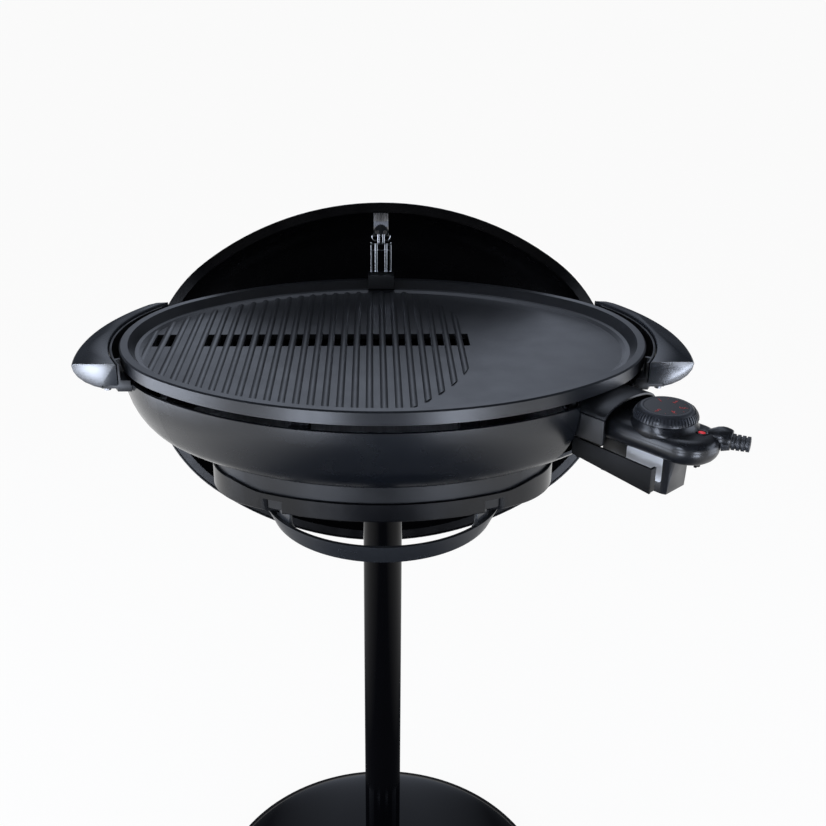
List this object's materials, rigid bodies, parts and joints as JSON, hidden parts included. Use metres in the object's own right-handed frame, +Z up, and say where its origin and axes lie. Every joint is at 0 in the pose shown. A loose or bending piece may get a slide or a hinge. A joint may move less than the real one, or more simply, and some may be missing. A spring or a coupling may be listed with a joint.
{
  "type": "electric pedestal grill with lid",
  "caption": "Oval electric grill on a pedestal, with a half-ribbed plate, a plug-in thermostat, side handles, a drip tray and a lid hung upright behind it on a rim holder.",
  "frame": {"origin": "on the floor under the column, at the centre of the rubber ring", "axes": "+X to the side with the thermostat, +Y to the back where the lid hangs, +Z up along the column"},
  "size_m": [0.6565, 0.5559, 0.9113],
  "materials": {
    "black_enamel": "gloss",
    "black_tube": "gloss",
    "coated_casting": "satin",
    "grey_plastic": "satin",
    "dark_plastic": "satin",
    "handle_plastic": "satin",
    "boot_plastic": "satin",
    "ring_metal": "satin",
    "steel": "satin",
    "raw_steel": "mill finish",
    "chrome": "bright",
    "tray_metal": "satin",
    "rubber": "matte",
    "ceramic": "matte",
    "label": "gloss",
    "lamp_red": "gloss",
    "brass": "satin",
    "dial_face": "gloss"
  },
  "bodies": {
    "stand": {"foot_cover": "black_enamel", "foot_ballast": "raw_steel", "rubber_ring": "rubber", "foot_spigot": "raw_steel", "foot_bolts": "steel", "lower_tube": "black_tube", "tube_joiner": "raw_steel", "upper_tube": "black_tube", "column_spigot": "raw_steel", "tube_screws": "steel", "cradle": "grey_plastic", "cradle_screws": "steel", "table_ring": "ring_metal", "ring_legs": "ring_metal", "ring_screws": "steel"},
    "base": {"base_bowl": "grey_plastic", "bowl_foot": "dark_plastic", "bowl_bolts": "steel", "bowl_nuts": "steel", "plate_supports": "raw_steel", "support_rivets": "grey_plastic", "left_handle": "handle_plastic", "right_handle": "handle_plastic", "left_handle_bracket": "dark_plastic", "right_handle_bracket": "dark_plastic", "handle_screws": "steel"},
    "tray": {"drip_tray": "tray_metal"},
    "plate": {"grill_plate": "coated_casting", "heating_element": "raw_steel", "contact_pins": "steel", "pin_insulators": "ceramic", "plug_hood": "dark_plastic", "plug_guard": "dark_plastic", "hood_screws": "steel", "guard_screws": "steel"},
    "holder": {"rim_clip": "dark_plastic", "holder_frame": "chrome", "hook_strap": "steel", "strap_rivets": "steel"},
    "lid": {"lid_shell": "black_enamel", "lid_handle": "dark_plastic", "lid_handle_spacers": "steel", "lid_handle_screws": "steel"},
    "thermostat": {"thermostat_top": "dark_plastic", "thermostat_base": "dark_plastic", "rating_plate": "label", "pilot_lamp": "lamp_red", "sensor_probe": "steel", "contact_sleeves": "brass", "cable_gland": "boot_plastic", "housing_screws": "steel", "thermal_switch": "ceramic"},
    "dial": {"dial_knob": "dark_plastic", "dial_cap": "dial_face", "dial_shaft": "steel"}
  },
  "joints": [
    {"name": "base_lift", "type": "slide", "parent": "stand", "child": "base", "axis": [0, 0, 1], "range_m": [0, 0.12]},
    {"name": "plate_lift", "type": "slide", "parent": "base", "child": "plate", "axis": [0, 0, 1], "range_m": [0, 0.12]},
    {"name": "tray_lift", "type": "slide", "parent": "base", "child": "tray", "axis": [0, 0, 1], "range_m": [0, 0.06]},
    {"name": "holder_lift", "type": "slide", "parent": "plate", "child": "holder", "axis": [0, 0, 1], "range_m": [0, 0.05]},
    {"name": "lid_unhook", "type": "slide", "parent": "holder", "child": "lid", "axis": [0, 0.8, 0.6], "range_m": [0, 0.35]},
    {"name": "thermostat_unplug", "type": "slide", "parent": "plate", "child": "thermostat", "axis": [0.6691, -0.7431, 0], "range_m": [0, 0.1]},
    {"name": "dial_turn", "type": "hinge", "parent": "thermostat", "child": "dial", "pos_m": [0.26622, -0.16795, 0.8], "axis": [0, 0, -1], "range_deg": [0, 270]}
  ],
  "couplings": [
    {"joint": "tray_lift", "follows": "plate_lift", "ratio": 0.5}
  ]
}
